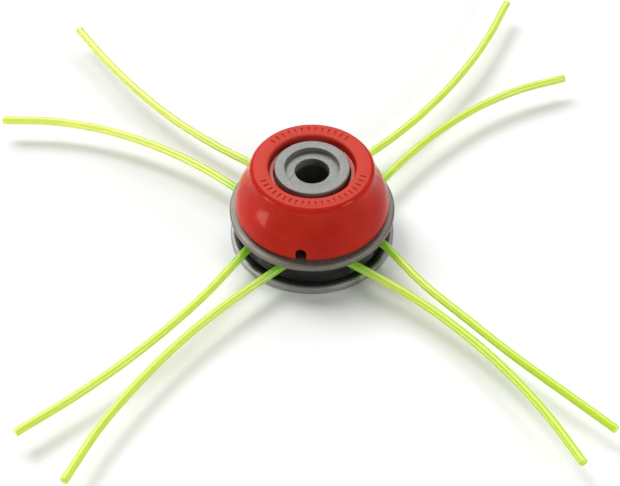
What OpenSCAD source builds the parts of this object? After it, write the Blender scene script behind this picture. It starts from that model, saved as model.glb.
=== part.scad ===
// Fixed line trimmer head with four looped cutting lines.
// Two round plates, each with a black liner, clamp four posts between them,
// and a hairpin of nylon line wraps each post and leaves the gap as two free
// ends. A steel hub goes through both plates, and a moulded cover closes in
// its upper half.
// Millimetres. +Z runs up along the spindle axis, towards the gearbox.
// The origin is at the centre of the face that the head stands on.

/* [Plates] */
// How far the middle of both liners reaches beyond the posts' centres
core_margin = 2.5; // [2:0.1:4]
// Width of the band round that middle, out to the plates' edge
band_w = 7; // [6:0.1:10]
// Height of the lower disc's outer wall
disc_rim_h = 3.9; // [3:0.1:5]
// Thickness of the lower disc inside that wall
disc_t = 2.5; // [2.5:0.1:3.5]
// Radial width of the flat on top of the lower disc's rim
disc_rim_w = 2.4; // [1.5:0.1:3]
// Depth of the pockets in the lower disc's underside
disc_pocket = 1.2; // [0.6:0.1:1.6]
// Solid width of the lower disc's rim outside those pockets
disc_skirt_w = 6; // [4:0.1:8]
// Solid width round the hub inside those pockets
disc_sleeve_w = 4; // [2:0.1:6]
// Thickness of the ribs between those pockets
disc_rib_t = 2.4; // [1.6:0.1:4]
// Thickness of the upper flange
flange_t = 3.6; // [3:0.1:5]
// Thickness of the lower liner's middle, which the line lies on
lower_liner_t = 5.7; // [4.5:0.1:8]
// Thickness of the upper liner
upper_liner_t = 2.8; // [2.4:0.1:3.5]
// Rounding of the plates' outer edges
edge_r = 0.8; // [0.4:0.1:1.2]

/* [Hub] */
// Outside diameter of the hub
hub_d = 35; // [31:0.5:42]
// How far the hub's face lies below the cover's top face
hub_sink = 0.8; // [0:0.1:2]
// Width of the shoulder that seats on the lower liner
shoulder_w = 3; // [1.5:0.1:4]
// Wall of the hub's lower end, round the nut well
spigot_wall = 2.5; // [1.5:0.1:3]
// Width of the collar that seats on the upper flange
collar_w = 2; // [1:0.1:3]
// Thickness of that collar
collar_t = 2.8; // [2:0.1:4]
// Diameter of the spindle hole
spindle_d = 16.1; // [14:0.1:18]
// Width of the seat round that hole, in the counterbore that centres the head
seat_w = 4.7; // [3.5:0.05:5.5]
// Depth of the counterbore down to the split ring
counterbore_depth = 2.6; // [2:0.1:4]
// Thickness of the split ring
ring_t = 2; // [1.5:0.1:3]
// Thickness of the hub's web under the split ring
web_t = 2.5; // [2:0.1:4]

/* [Cover] */
// How far the cover's lower edge is set back from the plates' edge
cover_setback = 2.7; // [1:0.1:4]
// Height of the cover above its seat on the flange
cover_h = 26.6; // [24:0.1:30]
// Height of the shadow gap between the cover's edge and the flange
cover_gap = 1.5; // [0.8:0.1:2]
// Wall thickness of the cover
cover_wall = 2.2; // [1.6:0.1:2.6]
// How far the flank flares out between the top face and the lower edge
cover_flare = 7.1; // [4:0.1:8]
// Height of the upright lip at the cover's lower edge
lip_h = 2; // [1:0.1:4]
// Width of the rounding between the flat top face and the flank
crown_w = 1.9; // [1.2:0.1:2.4]
// Slope of that rounding where it leaves the top face, in degrees
crown_slope = 22; // [10:1:35]
// Gap between the hub's collar and the opening's wall
opening_gap = 1.25; // [0.8:0.05:1.75]
// Rounding of the opening's upper edge
opening_r = 0.9; // [0.5:0.1:1.2]
// Height of the ring that seats on the flange inside the skirt
seat_h = 4.2; // [3:0.1:6]
// Thickness of the ribs inside the cover
rib_t = 1.6; // [1:0.1:2.4]
// Width of the arched notches in the cover's lower edge
notch_w = 5.2; // [4:0.1:6]
// Height of the arched notches above that edge
notch_h = 6; // [4:0.1:8]

/* [Line and posts] */
// Diameter of the cutting line
line_d = 4; // [3:0.1:4.2]
// Free height above and below the line between the liners
line_play = 0.3; // [0.2:0.05:0.6]
// Free width that a line's loop has between the hub and a post
loop_play = 1.3; // [1:0.1:2]
// Diameter of a post where the line bears on it
post_d = 13.4; // [11:0.1:13.6]
// Diameter of the post's ends, which locate in both liners
post_end_d = 9.6; // [8:0.1:10.4]
// How deep the post's ends sit in each liner
post_seat = 1.5; // [1:0.1:2]

/* [Screws] */
// Thread diameter of the screws through the posts
screw_d = 5; // [4:0.1:5.5]
// Head diameter of those screws
screw_head_d = 9.2; // [8:0.1:9.2]
// Length of thread in the upper flange
screw_grip = 6.2; // [5:0.1:8]
// Wall of the flange's bosses round those threads
flange_boss_wall = 3.25; // [2:0.05:4]
// Wall of the lower disc's bosses round those heads
disc_boss_wall = 2; // [1:0.1:3]
// Thread diameter of the cover's screws
tapping_d = 3.2; // [2.6:0.1:3.6]
// Head diameter of the cover's screws
tapping_head_d = 6.4; // [5.4:0.1:6.8]
// Head height of the cover's screws
tapping_head_h = 2.1; // [1.6:0.1:2.4]
// Length of thread in the cover's bosses
tapping_grip = 10; // [6:0.1:12]
// Wall of those bosses
tapping_boss_wall = 2.1; // [1.4:0.1:3]
// Gap between those bosses and the cover's seat ring
tapping_gap = 2; // [0.5:0.1:3]

/* [Hidden] */
$fn = 96;

// Clearance between parts that locate in each other, on the radius
fit = 0.05;
// Overlap that carries a cut clean through a face
cut = 0.5;
// Rows of parts: four posts at 45 degrees, the cover's screws between them
post_turns = [45, 135, 225, 315];
cover_screw_turns = [0, 90, 180, 270];
// Directions of the two notches and of the slit in the split ring
notch_turns = [-102, 78];
slit_turn = 201;
slit_w = 0.25;

// Heights, from the standing face upward
liner_top = disc_t + lower_liner_t;
line_z = liner_top + line_play + line_d / 2;
upper_liner_z = liner_top + line_d + 2 * line_play;
flange_rim_z = upper_liner_z + upper_liner_t;
flange_z = flange_rim_z + flange_t;
cover_edge_z = flange_z + cover_gap;
cover_z = flange_z + cover_h;
hub_z = cover_z - hub_sink;
ring_z = hub_z - counterbore_depth - ring_t;
web_z = ring_z - web_t;
hub_foot_z = 0.8;

// Radii, from the spindle outward
counterbore_r = spindle_d / 2 + seat_w;
hub_r = hub_d / 2;
spigot_r = hub_r - shoulder_w;
well_r = spigot_r - spigot_wall;
collar_r = hub_r + collar_w;
opening_wall_r = collar_r + opening_gap;
post_ring_r = hub_r + line_d + loop_play + post_d / 2;
core_r = post_ring_r + core_margin;
plate_r = core_r + band_w;
rim_in_r = plate_r - edge_r - disc_rim_w;
recess_r = rim_in_r - 1.4;
cover_r = plate_r - cover_setback;
cover_top_r = cover_r - cover_flare;

// The cover's crown: a crease round the flat top, then an arc that turns
// down into the flank
crown_from = 90 - crown_slope;
crown_to = 9;
crown_r = crown_w / (cos(crown_to) - cos(crown_from));
crown_h = crown_r * (sin(crown_from) - sin(crown_to));
// Chamfer on the cover's lip
lip_edge = 0.3;

// The cover's seat ring stands inside its skirt and is let into it
skirt_in_r = cover_r - cover_wall;
seat_out_r = skirt_in_r + 0.5;
seat_in_r = skirt_in_r - 0.4;

// Screws through the posts: sunk a little below the standing face
screw_sink = 0.1;
screw_head_edge = 0.3;
screw_cone_h = (screw_head_d - screw_d) / 2;

// Bosses round the screws
disc_boss_d = screw_head_d + 2 * disc_boss_wall;
flange_boss_d = screw_d + 2 * flange_boss_wall;
flange_boss_cap = 1.6;
flange_boss_z = flange_rim_z + screw_grip + flange_boss_cap;
tapping_boss_d = tapping_d + 2 * tapping_boss_wall;
tapping_boss_cap = 3;
tapping_boss_z = flange_z + tapping_grip + tapping_boss_cap;
tapping_ring_r = seat_in_r - tapping_gap - tapping_boss_d / 2;

// Each line is a hairpin. Its loop is the same at every post, written
// along and across the post's own direction.
loop_half = [[33.5, 9.7], [29.5, 10], [24.5, 8.5], [21.5, 5]];
loop_apex = [20.1, 0];
// The free ends, from the gap outward, first and second end of each line
ends = [
    [[[33.5, 20.5], [50, 39.5], [68.5, 57], [89, 72], [111.5, 83.5], [136, 91]],
     [[20.5, 33.5], [44.5, 53.5], [65.5, 75], [84.5, 99], [101, 125], [115, 152.5]]],
    [[[-20.5, 33.5], [-43.5, 52], [-64.5, 72.5], [-83, 95.5], [-99.5, 120], [-114, 145.5]],
     [[-33.5, 20.5], [-53, 39], [-74.5, 54.5], [-98.5, 67], [-124, 75], [-150.5, 78]]],
    [[[-33.5, -20.5], [-50.5, -43], [-69.5, -64], [-90, -83.5], [-112, -101.5], [-135, -118]],
     [[-20.5, -33.5], [-43, -52], [-64, -72.5], [-83, -95], [-99.5, -118.5], [-113.5, -144.5]]],
    [[[20.5, -33.5], [42.5, -52.5], [62, -74], [79, -97.5], [93.5, -123], [105, -149.5]],
     [[33.5, -20.5], [48.5, -45], [66, -67.5], [84, -90], [103, -111.5], [122, -133]]]
];
line_sides = 12;

// Points of an arc about c, with radius r, from angle a to angle b
function arc(c, r, a, b, n = 6) =
    [for (i = [0 : n]) let (t = a + (b - a) * i / n) c + r * [cos(t), sin(t)]];

// A cubic curve from p[0] to p[3], pulled towards p[1] and p[2]
function curve(p, n = 16) =
    [for (i = [0 : n]) let (t = i / n, s = 1 - t)
        s * s * s * p[0] + 3 * s * s * t * p[1] + 3 * s * t * t * p[2] + t * t * t * p[3]];

function reversed(list) = [for (i = [len(list) - 1 : -1 : 0]) list[i]];

// A point given along and across a direction
function turned(p, a) = [p[0] * cos(a) - p[1] * sin(a), p[0] * sin(a) + p[1] * cos(a)];

// The cover's flank, between its top edge and its lower edge. It starts
// steep, flares, and ends upright.
function flank(inset) = let (
        top = cover_z - crown_h,
        low = cover_edge_z + lip_h,
        rise = top - low
    ) curve([
        [cover_top_r - inset, top],
        [cover_top_r + 0.14 * cover_flare - inset, top - 0.31 * rise],
        [cover_r - 0.15 * cover_flare - inset, top - 0.58 * rise],
        [cover_r - inset, low]
    ]);

// Route of one line, from one cut end to the other
function route(i) = let (a = post_turns[i]) concat(
        reversed(ends[i][0]),
        [for (p = loop_half) turned([p[0], -p[1]], a)],
        [turned(loop_apex, a)],
        [for (p = reversed(loop_half)) turned(p, a)],
        ends[i][1]
    );

// A round bar swept along a flat route
module swept(path, d, z, sides) {
    n = len(path);
    rings = [for (i = [0 : n - 1])
        let (
            ahead = path[min(i + 1, n - 1)] - path[max(i - 1, 0)],
            side = [-ahead[1], ahead[0]] / norm(ahead)
        )
        for (k = [0 : sides - 1])
            let (a = 360 * k / sides)
            [path[i][0] + d / 2 * cos(a) * side[0],
             path[i][1] + d / 2 * cos(a) * side[1],
             z + d / 2 * sin(a)]];
    walls = [for (i = [0 : n - 2], k = [0 : sides - 1])
        let (j = (k + 1) % sides, a = i * sides, b = a + sides)
        each [[a + k, b + j, b + k], [a + k, a + j, b + j]]];
    caps = [
        reversed([for (k = [0 : sides - 1]) k]),
        [for (k = [0 : sides - 1]) (n - 1) * sides + k]
    ];
    polyhedron(points = rings, faces = concat(walls, caps), convexity = 10);
}

// Countersunk socket screw, its head's flat face at z = 0 and thread up
module countersunk_screw(d, head_d, edge, length) {
    cone_z = edge + (head_d - d) / 2;
    difference() {
        rotate_extrude()
            polygon([
                [0, 0], [head_d / 2, 0], [head_d / 2, edge], [d / 2, cone_z],
                [d / 2, length - 0.5], [d / 2 - 0.5, length], [0, length]
            ]);
        translate([0, 0, -cut])
            cylinder(h = cut + 0.45 * d, d = 0.69 * d, $fn = 6);
    }
}

// Pan head screw with a cross slot, its head's seat at z = 0 and thread up
module pan_screw(d, head_d, head_h, length) {
    difference() {
        rotate_extrude()
            polygon(concat(
                [[0, -head_h]],
                arc([head_d / 2 - 1, -head_h + 1], 1, -90, 0),
                [[head_d / 2, 0], [d / 2, 0], [d / 2, length - 1.2], [0.4, length], [0, length]]
            ));
        for (a = [0, 90])
            rotate(a)
                translate([-0.28 * head_d, -0.35, -head_h - cut])
                    cube([0.56 * head_d, 0.7, cut + 0.5 * head_h]);
    }
}

// Lower disc: a dish with a low rim, and shallow pockets below
module lower_disc() {
    sleeve_r = spigot_r + disc_sleeve_w;
    pocket_r = plate_r - disc_skirt_w;
    draft = 0.5 * disc_pocket;
    color([0.52, 0.52, 0.51])
    difference() {
        rotate_extrude()
            polygon(concat(
                [[spigot_r + fit, 0], [plate_r - edge_r, 0]],
                arc([plate_r - edge_r, edge_r], edge_r, -90, 0),
                arc([plate_r - edge_r, disc_rim_h - edge_r], edge_r, 0, 90),
                arc([rim_in_r, disc_rim_h - edge_r], edge_r, 90, 150),
                [[recess_r, disc_t], [spigot_r + fit, disc_t]]
            ));
        // Pockets between the ribs and the screw bosses
        difference() {
            translate([0, 0, -cut])
                rotate_extrude()
                    polygon([
                        [sleeve_r, 0], [pocket_r, 0],
                        [pocket_r, cut], [pocket_r - draft, cut + disc_pocket],
                        [sleeve_r + draft, cut + disc_pocket], [sleeve_r, cut]
                    ]);
            for (a = post_turns)
                rotate(a)
                    translate([post_ring_r, 0, -2 * cut])
                        cylinder(h = disc_t, d = disc_boss_d);
            for (a = [0 : 45 : 135])
                rotate(a)
                    translate([-plate_r, -disc_rib_t / 2, -2 * cut])
                        cube([2 * plate_r, disc_rib_t, disc_t]);
        }
        for (a = post_turns)
            rotate(a)
                translate([post_ring_r, 0, -cut]) {
                    cylinder(h = disc_t + 2 * cut, d = screw_d + 2 * fit);
                    cylinder(h = cut + screw_sink + screw_head_edge, d = screw_head_d + 2 * fit);
                    translate([0, 0, cut + screw_sink + screw_head_edge])
                        cylinder(
                            h = screw_cone_h,
                            d1 = screw_head_d + 2 * fit,
                            d2 = screw_d + 2 * fit
                        );
                }
    }
}

// Lower liner: black moulding in the dish, with a foot, a step and the
// raised middle that the line lies on
module lower_liner() {
    foot_r = recess_r - 0.1;
    foot_z = disc_t + 0.8;
    step_r = (recess_r + core_r) / 2 + 0.2;
    step_z = disc_t + 1.7;
    core_foot_r = core_r + 0.6;
    color([0.1, 0.1, 0.1])
    difference() {
        rotate_extrude()
            polygon(concat(
                [[spigot_r + fit, disc_t], [foot_r, disc_t]],
                [[foot_r, foot_z - 0.2], [foot_r - 0.2, foot_z], [step_r + 0.3, foot_z]],
                [[step_r, step_z], [core_foot_r, step_z + 0.2]],
                arc([core_r - edge_r, liner_top - edge_r], edge_r, 0, 90),
                [[spigot_r + fit, liner_top]]
            ));
        for (a = post_turns)
            rotate(a)
                translate([post_ring_r, 0, 0]) {
                    cylinder(h = liner_top + cut, d = screw_d + 2 * fit);
                    translate([0, 0, liner_top - post_seat])
                        cylinder(h = post_seat + cut, d = post_end_d + 2 * fit);
                }
    }
}

// Upper liner: black moulding under the flange, above the line
module upper_liner() {
    color([0.1, 0.1, 0.1])
    difference() {
        rotate_extrude()
            polygon(concat(
                [[hub_r + fit, upper_liner_z]],
                arc([core_r - edge_r, upper_liner_z + edge_r], edge_r, -90, 0),
                [[core_r + 0.6, flange_rim_z], [hub_r + fit, flange_rim_z]]
            ));
        for (a = post_turns)
            rotate(a)
                translate([post_ring_r, 0, upper_liner_z - cut]) {
                    cylinder(h = upper_liner_t + 2 * cut, d = screw_d + 2 * fit);
                    cylinder(h = cut + post_seat, d = post_end_d + 2 * fit);
                }
        // Holes that pass the heads of the cover's screws
        for (a = cover_screw_turns)
            rotate(a)
                translate([tapping_ring_r, 0, upper_liner_z - cut])
                    cylinder(h = upper_liner_t + 2 * cut, d = tapping_head_d + 0.6);
    }
}

// Upper flange: a flat plate, with bosses above for the screws
module upper_flange() {
    color([0.56, 0.54, 0.51])
    difference() {
        union() {
            rotate_extrude()
                polygon(concat(
                    [[hub_r + fit, flange_rim_z]],
                    arc([plate_r - edge_r, flange_rim_z + edge_r], edge_r, -90, 0),
                    arc([plate_r - edge_r, flange_z - edge_r], edge_r, 0, 90),
                    [[hub_r + fit, flange_z]]
                ));
            // The bosses are cut back where the cover's seat ring passes
            intersection() {
                for (a = post_turns)
                    rotate(a)
                        translate([post_ring_r, 0, flange_z - cut])
                            cylinder(h = flange_boss_z - flange_z + cut, d = flange_boss_d);
                cylinder(h = flange_boss_z, r = seat_in_r - 0.3);
            }
        }
        for (a = post_turns)
            rotate(a)
                translate([post_ring_r, 0, flange_rim_z - cut])
                    cylinder(h = cut + screw_grip + 0.4, d = screw_d + 2 * fit);
        for (a = cover_screw_turns)
            rotate(a)
                translate([tapping_ring_r, 0, flange_rim_z - cut])
                    cylinder(h = flange_t + 2 * cut, d = tapping_d + 0.4);
    }
}

// Hub: turned steel, seated on the flange by its collar and on the lower
// liner by its shoulder
module hub() {
    color([0.65, 0.66, 0.64])
    rotate_extrude()
        polygon(concat(
            [[well_r, hub_foot_z], [spigot_r - 0.5, hub_foot_z]],
            [[spigot_r, hub_foot_z + 0.5], [spigot_r, liner_top]],
            [[hub_r, liner_top], [hub_r, flange_z]],
            [[collar_r, flange_z], [collar_r, flange_z + collar_t - 0.6]],
            [[collar_r - 0.6, flange_z + collar_t], [hub_r, flange_z + collar_t]],
            arc([hub_r - 0.5, hub_z - 0.5], 0.5, 0, 90),
            arc([counterbore_r + 0.3, hub_z - 0.3], 0.3, 90, 180),
            [[counterbore_r, hub_z - counterbore_depth]],
            [[counterbore_r - 0.2, hub_z - counterbore_depth]],
            [[counterbore_r - 0.2, ring_z], [spindle_d / 2, ring_z]],
            [[spindle_d / 2, web_z], [well_r - 1, web_z], [well_r, web_z - 1]]
        ));
}

// Split ring at the bottom of the counterbore
module split_ring() {
    out_r = counterbore_r - 0.2 - fit;
    color([0.62, 0.62, 0.6])
    difference() {
        rotate_extrude()
            polygon([
                [spindle_d / 2, ring_z], [out_r, ring_z],
                [out_r, ring_z + ring_t - 0.15], [out_r - 0.15, ring_z + ring_t],
                [spindle_d / 2 + 0.3, ring_z + ring_t], [spindle_d / 2, ring_z + ring_t - 0.3]
            ]);
        rotate(slit_turn)
            translate([0, -slit_w / 2, ring_z - cut])
                cube([2 * counterbore_r, slit_w, ring_t + 2 * cut]);
    }
}

// The hollow between the cover's opening wall and its flank
module cover_hollow() {
    low = cover_edge_z - 2 * cover_gap;
    roof_z = cover_z - cover_wall;
    corner = 1;
    difference() {
        rotate_extrude()
            polygon(concat(
                [[0, low], [0, roof_z], [cover_top_r - cover_wall - corner, roof_z]],
                [for (p = flank(cover_wall)) if (p[1] < roof_z - corner) p],
                [[skirt_in_r, low]]
            ));
        translate([0, 0, low - cut])
            cylinder(h = cover_z, r = opening_wall_r + cover_wall);
    }
}

// Cover: moulded bell with a flat top, an inner wall round the hub, ribs,
// screw bosses and a seat ring set back from its lower edge
module cover() {
    notch_r = seat_in_r - 2 * cut;
    notch_reach = cover_r + cut - notch_r;
    crown_centre = [
        cover_top_r - crown_r * cos(crown_to),
        cover_z - crown_r * sin(crown_from)
    ];
    color([0.85, 0.2, 0.15])
    difference() {
        union() {
            difference() {
                rotate_extrude()
                    polygon(concat(
                        [[opening_wall_r, cover_edge_z]],
                        arc([opening_wall_r + opening_r, cover_z - opening_r], opening_r, 180, 90),
                        arc(crown_centre, crown_r, crown_from, crown_to),
                        [for (p = flank(0)) if (p[1] < cover_z - crown_h - 0.1) p],
                        [[cover_r, cover_edge_z + lip_edge], [cover_r - lip_edge, cover_edge_z]]
                    ));
                // The hollow, less the ribs from the inner wall to the skirt
                difference() {
                    cover_hollow();
                    for (a = [0 : 45 : 135])
                        rotate(a)
                            translate([-cover_r, -rib_t / 2, flange_boss_z + 1.5])
                                cube([2 * cover_r, rib_t, cover_h]);
                }
            }
            // Seat ring
            rotate_extrude()
                polygon([
                    [seat_in_r, flange_z], [seat_out_r, flange_z],
                    [seat_out_r, flange_z + seat_h], [seat_in_r, flange_z + seat_h]
                ]);
            // Bosses for the screws from below
            for (a = cover_screw_turns)
                rotate(a)
                    translate([tapping_ring_r, 0, flange_z])
                        cylinder(h = tapping_boss_z - flange_z, d = tapping_boss_d);
        }
        // Pilot holes
        for (a = cover_screw_turns)
            rotate(a)
                translate([tapping_ring_r, 0, flange_z - cut])
                    cylinder(h = cut + tapping_grip + 0.8, d = tapping_d + 2 * fit);
        // Arched notches, open down to the flange
        for (a = notch_turns)
            rotate(a)
                translate([notch_r, 0, cover_edge_z + notch_h - notch_w / 2]) {
                    rotate([0, 90, 0])
                        cylinder(h = notch_reach, d = notch_w, $fn = 48);
                    translate([0, -notch_w / 2, -notch_h])
                        cube([notch_reach, notch_w, notch_h]);
                }
    }
}

// Post: steel bush that a line wraps, with its ends let into both liners
module post(i) {
    low = liner_top - post_seat;
    high = upper_liner_z + post_seat;
    color([0.25, 0.25, 0.26])
    rotate(post_turns[i])
        translate([post_ring_r, 0, 0])
            rotate_extrude()
                polygon([
                    [screw_d / 2 + fit, low], [post_end_d / 2, low], [post_end_d / 2, liner_top],
                    [post_d / 2, liner_top], [post_d / 2 - 0.3, liner_top + 0.9],
                    [post_d / 2 - 0.3, upper_liner_z - 0.9], [post_d / 2, upper_liner_z],
                    [post_end_d / 2, upper_liner_z], [post_end_d / 2, high],
                    [screw_d / 2 + fit, high]
                ]);
}

// Screw from below through the lower disc and a post into the flange
module post_screw(i) {
    length = flange_rim_z + screw_grip - screw_sink;
    color([0.3, 0.3, 0.32])
    rotate(post_turns[i])
        translate([post_ring_r, 0, screw_sink])
            countersunk_screw(screw_d, screw_head_d, screw_head_edge, length);
}

// Screw from the flange's underside into one of the cover's bosses, its
// head in the upper liner
module cover_screw(i) {
    color([0.3, 0.3, 0.32])
    rotate(cover_screw_turns[i])
        translate([tapping_ring_r, 0, flange_rim_z])
            pan_screw(tapping_d, tapping_head_d, tapping_head_h, flange_t + tapping_grip);
}

// One looped cutting line
module line(i) {
    color([0.8, 0.95, 0.3])
    swept(route(i), line_d, line_z, line_sides);
}

lower_disc();
lower_liner();
upper_liner();
upper_flange();
hub();
split_ring();
cover();
post(0);  // post_1
post(1);  // post_2
post(2);  // post_3
post(3);  // post_4
post_screw(0);  // post_screw_1
post_screw(1);  // post_screw_2
post_screw(2);  // post_screw_3
post_screw(3);  // post_screw_4
cover_screw(0);  // cover_screw_1
cover_screw(1);  // cover_screw_2
cover_screw(2);  // cover_screw_3
cover_screw(3);  // cover_screw_4
line(0);  // line_1
line(1);  // line_2
line(2);  // line_3
line(3);  // line_4
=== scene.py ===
"""Looks of the fixed line trimmer head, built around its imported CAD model.

Lengths of shapes are millimetres, turned into metres by MM. Heights count
from the face that the head stands on, and radii from the spindle axis.
Materials and lights are set in metres.
"""

import math

import bmesh
import bpy
from mathutils import Matrix, Vector


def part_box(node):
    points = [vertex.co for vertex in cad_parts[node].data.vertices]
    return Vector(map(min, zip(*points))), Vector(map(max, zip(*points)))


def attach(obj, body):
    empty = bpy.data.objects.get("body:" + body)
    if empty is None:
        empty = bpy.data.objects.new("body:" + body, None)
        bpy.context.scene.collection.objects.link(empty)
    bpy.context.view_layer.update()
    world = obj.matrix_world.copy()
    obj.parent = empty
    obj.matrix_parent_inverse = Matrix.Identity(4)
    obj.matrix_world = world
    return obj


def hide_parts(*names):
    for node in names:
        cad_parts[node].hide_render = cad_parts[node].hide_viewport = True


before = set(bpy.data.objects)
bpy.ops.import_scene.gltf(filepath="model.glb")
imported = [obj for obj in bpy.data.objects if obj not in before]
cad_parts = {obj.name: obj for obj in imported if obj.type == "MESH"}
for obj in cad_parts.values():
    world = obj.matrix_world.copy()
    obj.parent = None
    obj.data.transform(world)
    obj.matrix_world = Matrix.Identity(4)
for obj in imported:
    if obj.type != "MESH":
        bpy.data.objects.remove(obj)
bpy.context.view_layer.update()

MM = 0.001
TURNED_STEPS = 256  # round the large turned pieces
ROUNDING_STEPS = 4  # along each rounded corner of an outline
CREASE_ANGLE = 32  # degrees between faces beyond which their edge stays sharp
SAME_SPOT = 1e-7  # metres within which points of a turned piece are one
PAST = 1  # how far a cutter reaches past the face that it opens
FIT = 0.05  # play round what stands in a hole

# Heights and radii that the pieces share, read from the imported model
LOW_CORNER = {}
HIGH_CORNER = {}
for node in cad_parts:
    low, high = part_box(node)
    LOW_CORNER[node] = low / MM
    HIGH_CORNER[node] = high / MM
PLATE_R = HIGH_CORNER["upper_flange"].x
COVER_R = HIGH_CORNER["cover"].x
COVER_Z = HIGH_CORNER["cover"].z
FLANGE_Z = LOW_CORNER["cover"].z
HUB_Z = HIGH_CORNER["hub"].z
HUB_FOOT_Z = LOW_CORNER["hub"].z
COLLAR_R = HIGH_CORNER["hub"].x
RIM_Z = HIGH_CORNER["lower_disc"].z
DISC_FLOOR_Z = LOW_CORNER["lower_liner"].z
LINER_Z = HIGH_CORNER["lower_liner"].z
UPPER_LINER_Z = LOW_CORNER["upper_liner"].z
FLANGE_RIM_Z = LOW_CORNER["upper_flange"].z
RING_Z = LOW_CORNER["split_ring"].z
RING_TOP_Z = HIGH_CORNER["split_ring"].z
LINE_Z = (LOW_CORNER["line_1"].z + HIGH_CORNER["line_1"].z) / 2
LINE_D = HIGH_CORNER["line_1"].z - LOW_CORNER["line_1"].z


# Mesh helpers
def turned(point, degrees):
    """A point given along and across a direction."""
    a = math.radians(degrees)
    along, across = point
    return (
        along * math.cos(a) - across * math.sin(a),
        along * math.sin(a) + across * math.cos(a),
    )


def spots(radius, turns):
    """Points on a circle, one for each turn in degrees."""
    return [turned((radius, 0), a) for a in turns]


def rounded(corners):
    """A closed outline from corners given as (radius, height, rounding)."""
    outline = []
    count = len(corners)
    for i, (r, z, rounding) in enumerate(corners):
        here = Vector((r, z))
        if not rounding:
            outline.append(here)
            continue
        before = (Vector(corners[i - 1][:2]) - here).normalized() * rounding
        after = (Vector(corners[(i + 1) % count][:2]) - here).normalized() * rounding
        for k in range(ROUNDING_STEPS + 1):
            t = k / ROUNDING_STEPS
            outline.append(here + before * (1 - t) ** 2 + after * t**2)
    return outline


def to_piece(name, mesh):
    """An object in the scene from a finished bmesh."""
    data = bpy.data.meshes.new(name)
    mesh.to_mesh(data)
    mesh.free()
    piece = bpy.data.objects.new(name, data)
    bpy.context.scene.collection.objects.link(piece)
    return piece


def skin(mesh, rings, closed=False):
    """Faces from ring to ring. They meet again if closed, or else have end faces."""
    pairs = list(zip(rings, rings[1:]))
    if closed:
        pairs.append((rings[-1], rings[0]))
    else:
        mesh.faces.new(rings[0])
        mesh.faces.new(list(reversed(rings[-1])))
    for ring, following in pairs:
        for k in range(len(ring)):
            j = (k + 1) % len(ring)
            mesh.faces.new((ring[k], following[k], following[j], ring[j]))


def lathe(name, outline, steps=TURNED_STEPS, gap=0, gap_at=0):
    """A closed outline of (radius, height) points turned about the axis. gap
    is the angle in degrees that is left open, centred on gap_at."""
    mesh = bmesh.new()
    sweep = math.radians(360 - gap)
    start = math.radians(gap_at + gap / 2)
    rings = []
    for i in range(steps + (1 if gap else 0)):
        a = start + sweep * i / steps
        ring = [(r * math.cos(a) * MM, r * math.sin(a) * MM, z * MM) for r, z in outline]
        rings.append([mesh.verts.new(place) for place in ring])
    skin(mesh, rings, closed=not gap)
    bmesh.ops.remove_doubles(mesh, verts=mesh.verts, dist=SAME_SPOT)
    bmesh.ops.recalc_face_normals(mesh, faces=mesh.faces)
    return to_piece(name, mesh)


def drum(radius, low, high, at=(0, 0), steps=64, top_radius=None):
    """An upright cylinder or cone, used as a cutter or a boss."""
    mesh = bmesh.new()
    bmesh.ops.create_cone(
        mesh,
        cap_ends=True,
        segments=steps,
        radius1=radius * MM,
        radius2=(radius if top_radius is None else top_radius) * MM,
        depth=(high - low) * MM,
        matrix=Matrix.Translation(Vector((at[0], at[1], (low + high) / 2)) * MM),
    )
    return to_piece("drum", mesh)


def block(low, high, turn):
    """A box between two corners, turned about the axis."""
    mesh = bmesh.new()
    size = [(b - a) * MM for a, b in zip(low, high)]
    middle = [(a + b) / 2 * MM for a, b in zip(low, high)]
    place = Matrix.Rotation(math.radians(turn), 4, "Z") @ Matrix.Translation(middle)
    bmesh.ops.create_cube(mesh, size=1, matrix=place @ Matrix.Diagonal((*size, 1)))
    return to_piece("block", mesh)


def combine(piece, others, operation):
    """Applies a boolean with each of the others in turn, and removes them."""
    for other in others:
        step = piece.modifiers.new("step", "BOOLEAN")
        step.operation = operation
        step.solver = "EXACT"
        step.object = other
    made = piece.evaluated_get(bpy.context.evaluated_depsgraph_get())
    data = bpy.data.meshes.new_from_object(made)
    piece.modifiers.clear()
    old = piece.data
    piece.data = data
    bpy.data.meshes.remove(old)
    for other in others:
        bpy.data.objects.remove(other)


def finish_piece(piece, slot, node, *materials):
    """Shades a piece smooth between its creases, and puts it in a node's place."""
    for face in piece.data.polygons:
        face.use_smooth = True
    piece.data.set_sharp_from_angle(angle=math.radians(CREASE_ANGLE))
    piece.data.materials.clear()
    for material in materials:
        piece.data.materials.append(material)
    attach(piece, "root")
    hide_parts(node)


# Materials
def linear(red, green, blue):
    """An sRGB colour, 0 to 255, as linear light with full cover."""
    values = []
    for c in (red / 255, green / 255, blue / 255):
        values.append(c / 12.92 if c <= 0.04045 else ((c + 0.055) / 1.055) ** 2.4)
    return (*values, 1)


GLOSS_RED = linear(180, 40, 27)
GLOSS_RED_DEEP = linear(168, 33, 22)
ERODED_RED = linear(198, 64, 50)
ERODED_RED_DEEP = linear(184, 54, 42)
FLANGE_GREY = linear(130, 126, 117)
FLANGE_GREY_DARK = linear(118, 114, 106)
# painted light: the lower disc's greys are lighter than the flange's, for light on its rim's
# front wall
DISC_LIT_GREY = linear(170, 170, 166)
DISC_LIT_GREY_DARK = linear(154, 154, 151)
PLATE_SPECK = linear(62, 61, 57)
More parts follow.
